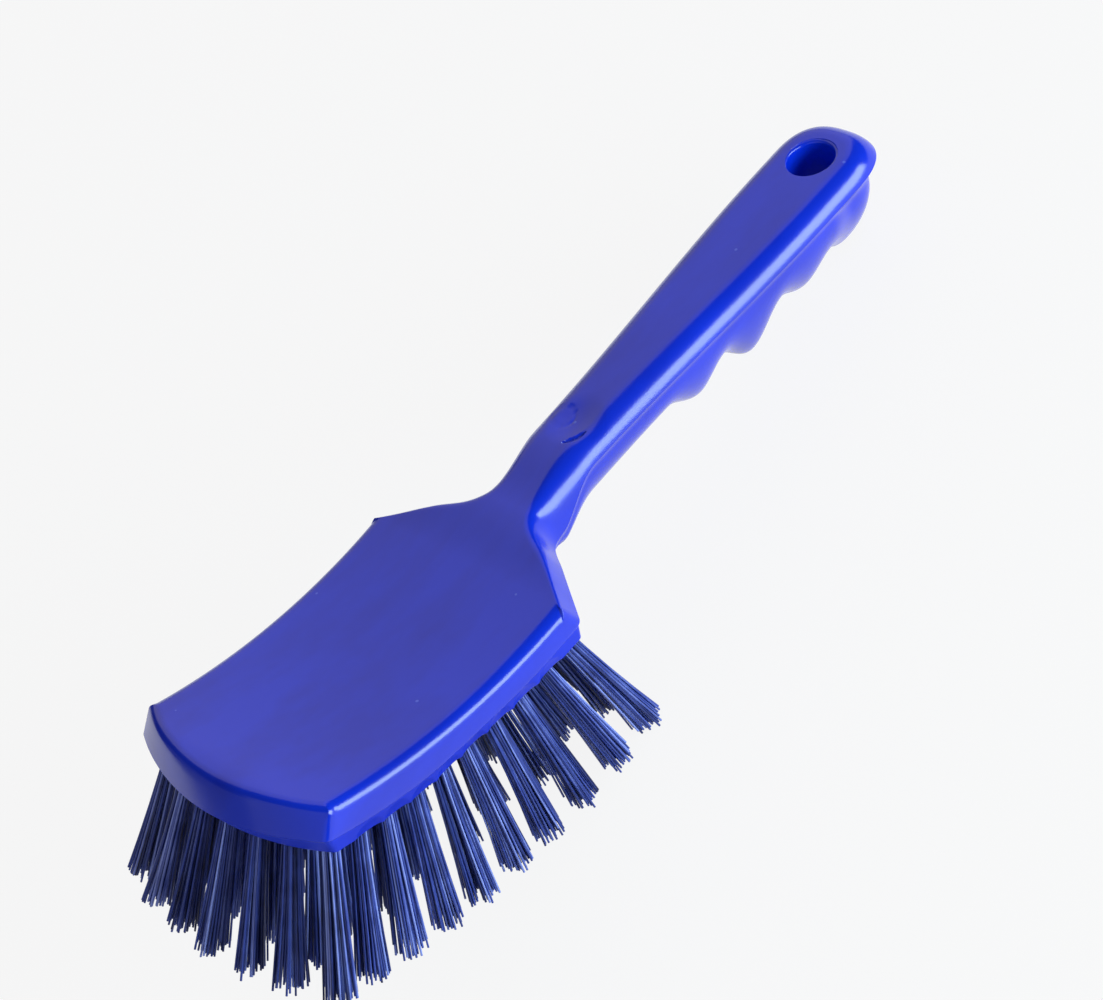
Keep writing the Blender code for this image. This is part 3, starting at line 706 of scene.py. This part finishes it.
def loopEdges(bm, loop):
    return [bm.edges.get((loop[i], loop[(i + 1) % len(loop)])) for i in range(len(loop))]


def lipLoops(bm):
    # loops of points down the lip, which starts just inside the foot of the wall
    outline = lipOutline()
    ways = [q - p for p, q in zip(outline, insetOutline(outline, 1.0))]
    ends = [min(max(p.x, 0.0), body["dishEnd"]) for p in outline]
    tops = [topHeight(end) - body["wallHeight"] - deepening(p.x) + pad["lipHidden"]
            for p, end in zip(outline, ends)]
    r = pad["edgeRound"]
    # share of the way down the wall, then inset and rise of the rounded lower edge
    steps = [(i / pad["wallRows"], 0.0, r) for i in range(pad["wallRows"])]
    steps += [(1.0, r * (1 - math.cos(a)), r * (1 - math.sin(a)))
              for a in (math.pi / 2 * i / pad["edgeSteps"] for i in range(pad["edgeSteps"] + 1))]
    loops = []
    for share, inset, rise in steps:
        loop = []
        for p, way, top in zip(outline, ways, tops):
            z = mix(top, faceHeight(p.x) + rise, share)
            moved = p + way * (inset + pad["lipUndercut"] * share + scoopDepth(p, z))
            loop.append(bm.verts.new((moved.x, moved.y, z)))
        loops.append(loop)
    return loops


def blindHole(bm, place):
    # a hole along its tuft's direction; its mouth lies in the pad's face
    pose = tuftFrame(place)
    angles = [math.tau * k / pad["holeSides"] for k in range(pad["holeSides"])]
    circle = [Vector((math.cos(a), math.sin(a), 0.0)) * pad["holeRadius"] for a in angles]
    drop = Vector((0.0, 0.0, pad["holeDepth"]))
    spots = [pose @ p for p in circle]
    mouth = [bm.verts.new((spot.x, spot.y, faceHeight(spot.x))) for spot in spots]
    bottom = [bm.verts.new(pose @ (p - drop)) for p in circle]
    joinLoops(bm, mouth, bottom)
    bm.faces.new(bottom)
    return mouth


def bristlePad():
    bm = bmesh.new()
    loops = lipLoops(bm)
    for upper, lower in zip(loops, loops[1:]):
        joinLoops(bm, upper, lower)
    bm.faces.new(loops[0])
    edges = loopEdges(bm, loops[-1])
    for place in tuftPlaces:
        edges += loopEdges(bm, blindHole(bm, place))
    bmesh.ops.triangle_fill(bm, edges=edges, use_beauty=True, normal=(0.0, 0.0, -1.0))
    bmesh.ops.recalc_face_normals(bm, faces=bm.faces)
    bm.verts.index_update()
    points = [tuple(v.co) for v in bm.verts]
    faces = [[v.index for v in f.verts] for f in bm.faces]
    bm.free()
    piece = addPiece("bristlePad", points, faces, shadedPadMaterial, "blue_polypropylene")
    piece.data.set_sharp_from_angle(angle=math.radians(pad["sharpAngle"]))
    return piece


padPiece = bristlePad()
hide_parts("brush_body")
print("bristle pad moulded")

# Navy PBT filament, extruded and cut: smooth glossy round threads, each a little lighter or darker
filament = {
    "darkColour": "#08123F",
    "middleColour": "#4355AE",
    "lightColour": "#93A4F2",
    "darkStop": 0.15,
    "middleStop": 0.7,
    "roughness": (0.28, 0.44),  # least and most
    "specularLevel": 0.28,
    "ior": 1.55,
    "driftSize": 7.0,         # mm along a filament between lighter and darker runs
    "driftShare": 0.5,
    "driftHeight": 0.02,      # mm
    "driftStrength": 0.6,
    "tone": (0.38, 0.24),     # mean and spread over the filaments
    "lightestTone": 0.9,
    "diameter": 0.62,         # mm, a little more than the real one, so that they show
    "thickness": (0.92, 1.06),  # of the diameter, least and most
    "count": 72,
    "spiralTurn": 2.399963,   # radians, the golden angle, which fills a disc evenly
    "spiralJitter": 0.25,
    "rootRadius": 2.35,       # mm, of the disc that the filaments fill where they leave the hole
    "tipRadius": 4.5,
    "lean": 0.35,             # mm, how far a whole tuft's tip strays
    "splayJitter": 0.26,      # mm, the same for one filament
    "bow": 0.15,              # mm, its bend in the middle, to any side
    "inwardBow": 0.35,        # mm, and towards the tuft's axis
    "sink": 1.8,              # mm, how deep the filaments start in the hole
    # the curve that the tips are trimmed to, how unevenly, and the few that are cut short
    "trimRadius": 285.0, "trimLow": 85.6, "trimDrop": 63.2,
    "raggedCut": 0.5, "shortShare": 0.12, "shortCut": (0.5, 2.4),
    "sides": 5, "steps": 4, "sharpAngle": 80, "seed": 1000,
}


def extrudedPbt():
    f = filament
    material, tree = newMaterial("extrudedPbtFilament")
    tone = addNode(tree, "ShaderNodeAttribute", {"attribute_name": "tone"})
    spot = addNode(tree, "ShaderNodeTexCoord").outputs["Object"]
    drift = addNode(tree, "ShaderNodeTexNoise", inputs={"Scale": patternScale(f["driftSize"]), "Detail": 2.0},
                    links={"Vector": spot})
    mixed = addNode(tree, "ShaderNodeMath", {"operation": "MULTIPLY_ADD"}, {1: f["driftShare"]},
                    {0: drift.outputs["Fac"], 2: tone.outputs["Fac"]})
    ramp = addNode(tree, "ShaderNodeValToRGB", links={"Fac": mixed.outputs["Value"]})
    stops = ramp.color_ramp.elements
    stops[0].position, stops[0].color = f["darkStop"], hexColour(f["darkColour"])
    stops[1].position, stops[1].color = f["middleStop"], hexColour(f["middleColour"])
    light = stops.new(1.0)
    light.color = hexColour(f["lightColour"])
    gloss = addNode(tree, "ShaderNodeMapRange",
                    inputs={"To Min": f["roughness"][0], "To Max": f["roughness"][1]},
                    links={"Value": drift.outputs["Fac"]})
    bump = addNode(tree, "ShaderNodeBump",
                   inputs={"Strength": f["driftStrength"], "Distance": f["driftHeight"] * mm},
                   links={"Height": drift.outputs["Fac"]})
    shader = addNode(tree, "ShaderNodeBsdfPrincipled",
                     inputs={"IOR": f["ior"], "Specular IOR Level": f["specularLevel"]},
                     links={"Base Color": ramp.outputs["Color"], "Roughness": gloss.outputs["Result"],
                            "Normal": bump.outputs["Normal"]})
    addNode(tree, "ShaderNodeOutputMaterial", links={"Surface": shader.outputs["BSDF"]})
    return material


filamentMaterial = extrudedPbt()


def trimReach(start, heading):
    # how far it is along heading to the curve that every tip is trimmed to
    f = filament
    ox, oz = start.x - f["trimLow"], start.z - (f["trimRadius"] - f["trimDrop"])
    a = heading.x ** 2 + heading.z ** 2
    b = ox * heading.x + oz * heading.z
    c = ox ** 2 + oz ** 2 - f["trimRadius"] ** 2
    return (-b + math.sqrt(b * b - a * c)) / a


def aboveFloor(origin, tip):
    # a filament that would pass through the floor is cut where it meets it
    height = (tip - floorPoint).dot(floorNormal)
    if height >= 0:
        return tip
    start = (origin - floorPoint).dot(floorNormal)
    return origin + (tip - origin) * (start / (start - height))


def threadPoints(start, end, aim, bend, radius, twist):
    # rings of points along one filament, which is bent most in its middle
    f = filament
    across = aim.orthogonal().normalized()
    up = aim.cross(across)
    c, s = math.cos(twist), math.sin(twist)
    angles = [math.tau * k / f["sides"] for k in range(f["sides"])]
    circle = [(math.cos(a), math.sin(a)) for a in angles]
    points = []
    for step in range(f["steps"] + 1):
        t = step / f["steps"]
        middle = start.lerp(end, t) + bend * (4 * t * (1 - t))
        for x, y in circle:
            sideways, upwards = (x * c - y * s) * radius, (x * s + y * c) * radius
            points.append(tuple(middle + across * sideways + up * upwards))
    return points


def threadFaces(base):
    # the same filament's sides and its two cut ends, from its first point's number
    n, last = filament["sides"], base + filament["steps"] * filament["sides"]
    faces = []
    for a in range(base, last, n):
        for k in range(n):
            m = (k + 1) % n
            faces.append([a + k, a + m, a + n + m, a + n + k])
    faces.append([last + k for k in range(n)])
    faces.append([base + k for k in range(n)][::-1])
    return faces


def makeTuft(number, place):
    f = filament
    dice = random.Random(f["seed"] + number)
    pose = tuftFrame(place)
    turned = pose.to_3x3()
    length = trimReach(place, tuftDirection(place))
    points, faces, tones = [], [], []
    lean = Vector((dice.gauss(0, f["lean"]), dice.gauss(0, f["lean"]), 0.0))
    for i in range(f["count"]):
        spread = math.sqrt((i + 0.5) / f["count"])
        angle = i * f["spiralTurn"] + dice.uniform(-f["spiralJitter"], f["spiralJitter"])
        spot = Vector((spread * math.cos(angle), spread * math.sin(angle), 0.0))
        jitter = Vector((dice.gauss(0, 1), dice.gauss(0, 1), 0.0)) * f["splayJitter"]
        tip = spot * f["tipRadius"] + lean + jitter
        start = pose @ (spot * f["rootRadius"] - Vector((0.0, 0.0, f["sink"])))
        aim = (pose @ (tip + Vector((0.0, 0.0, length))) - start).normalized()
        reach = trimReach(start, aim) + dice.gauss(0, f["raggedCut"])
        if dice.random() < f["shortShare"]:
            reach -= dice.uniform(*f["shortCut"])
        end = aboveFloor(start, start + aim * reach)
        waver = Vector((dice.gauss(0, 1), dice.gauss(0, 1), 0.0)) * f["bow"]
        bend = turned @ (waver - spot * f["inwardBow"])
        twist = dice.uniform(0, math.tau)
        radius = f["diameter"] / 2 * dice.uniform(*f["thickness"])
        tone = min(max(dice.gauss(*f["tone"]), 0.0), f["lightestTone"])
        faces += threadFaces(len(points))
        thread = threadPoints(start, end, aim, bend, radius, twist)
        points += thread
        tones += [tone] * len(thread)
    piece = addPiece("tuft{:02d}".format(number), points, faces, filamentMaterial, "navy_polyester")
    attribute = piece.data.attributes.new("tone", "FLOAT", "POINT")
    attribute.data.foreach_set("value", tones)
    piece.data.set_sharp_from_angle(angle=math.radians(f["sharpAngle"]))
    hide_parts("tuft_{:02d}".format(number))


for number, place in enumerate(tuftPlaces, 1):
    makeTuft(number, place)
print("tufts filled:", len(tuftPlaces))

# Studio: a plain pale floor and soft light from large panels
studio = {
    "floorColour": "#E9EAEC", "grainColour": "#E4E6EA", "grainSize": 1.111,  # mm
    "floorSize": 6.0, "floorDrop": 0.0002,
    "floorShare": 0.88,  # of even white in what the camera sees of the floor; the rest takes shadow
    "skyForDiffuse": 0.17, "skyForGloss": 0.03,
    "aimPoint": (0.0, 0.0, 0.05),
}
panels = {
    # name: direction from the brush, distance, width, height, watts, colour
    "keyRight": ((0.42, -0.86, 0.19), 0.9, 1.1, 0.32, 9.6, "#DFF6FF"),
    "backWall": ((0.5, 0.6, 0.47), 1.6, 1.8, 1.7, 7.0, "#FFF2FA"),
    "backLeft": ((-0.72, 0.68, 0.2), 1.6, 1.4, 0.9, 0.5, "#FFFFFF"),
    "frontLeft": ((-0.85, -0.25, 0.45), 1.4, 2.0, 1.8, 3.6, "#FFFFFF"),
}
white = hexColour("#FFFFFF")


def matPaper():
    # plain matt paper: faint grain, no gloss; reflections see it as even white
    material, tree = newMaterial("matPaper")
    spot = addNode(tree, "ShaderNodeTexCoord").outputs["Object"]
    grain = addNode(tree, "ShaderNodeTexNoise",
                    inputs={"Scale": patternScale(studio["grainSize"]), "Detail": 2.0},
                    links={"Vector": spot})
    tint = addNode(tree, "ShaderNodeMix", {"data_type": "RGBA"},
                   {"A": hexColour(studio["grainColour"]), "B": hexColour(studio["floorColour"])},
                   {"Factor": grain.outputs["Fac"]})
    matt = addNode(tree, "ShaderNodeBsdfDiffuse", links={"Color": tint.outputs["Result"]})
    glow = addNode(tree, "ShaderNodeEmission", inputs={"Color": white, "Strength": 1.0})
    seen = addNode(tree, "ShaderNodeLightPath")
    share = addNode(tree, "ShaderNodeMath", {"operation": "MULTIPLY_ADD"}, {1: studio["floorShare"]},
                    {0: seen.outputs["Is Camera Ray"], 2: seen.outputs["Is Glossy Ray"]})
    blend = addNode(tree, "ShaderNodeMixShader",
                    links={0: share.outputs["Value"], 1: matt.outputs["BSDF"], 2: glow.outputs["Emission"]})
    addNode(tree, "ShaderNodeOutputMaterial", links={"Surface": blend.outputs["Shader"]})
    return material


half = studio["floorSize"] / 2
floorMesh = bpy.data.meshes.new("studioFloor")
floorMesh.from_pydata([(-half, -half, 0), (half, -half, 0), (half, half, 0), (-half, half, 0)], [],
                      [(0, 1, 2, 3)])
floorMesh.materials.append(matPaper())
studioFloor = bpy.data.objects.new("studioFloor", floorMesh)
studioFloor.location.z = -studio["floorDrop"]
scene.collection.objects.link(studioFloor)

# the sky is white to the camera, dim to the brush and nearly dark in its gloss
world = bpy.data.worlds.new("paleStudio")
scene.world = world
world.use_nodes = True
tree = world.node_tree
tree.nodes.clear()
path = addNode(tree, "ShaderNodeLightPath")
glossy = addNode(tree, "ShaderNodeMix", {"data_type": "FLOAT"},
                 {"A": studio["skyForDiffuse"], "B": studio["skyForGloss"]},
                 {"Factor": path.outputs["Is Glossy Ray"]})
seen = addNode(tree, "ShaderNodeMix", {"data_type": "FLOAT"}, {"B": 1.0},
               {"Factor": path.outputs["Is Camera Ray"], "A": glossy.outputs["Result"]})
sky = addNode(tree, "ShaderNodeBackground", inputs={"Color": white},
              links={"Strength": seen.outputs["Result"]})
addNode(tree, "ShaderNodeOutputWorld", links={"Surface": sky.outputs["Background"]})

for name, (direction, distance, width, height, watts, tint) in panels.items():
    light = bpy.data.lights.new(name, "AREA")
    light.shape = "RECTANGLE"
    light.size, light.size_y, light.energy = width, height, watts
    light.color = hexColour(tint)[:3]
    lamp = bpy.data.objects.new(name, light)
    out = Vector(direction).normalized()
    lamp.location = Vector(studio["aimPoint"]) + out * distance
    lamp.rotation_euler = out.to_track_quat("Z", "Y").to_euler()
    scene.collection.objects.link(lamp)

scene.view_settings.view_transform = "Standard"
print("studio lit")
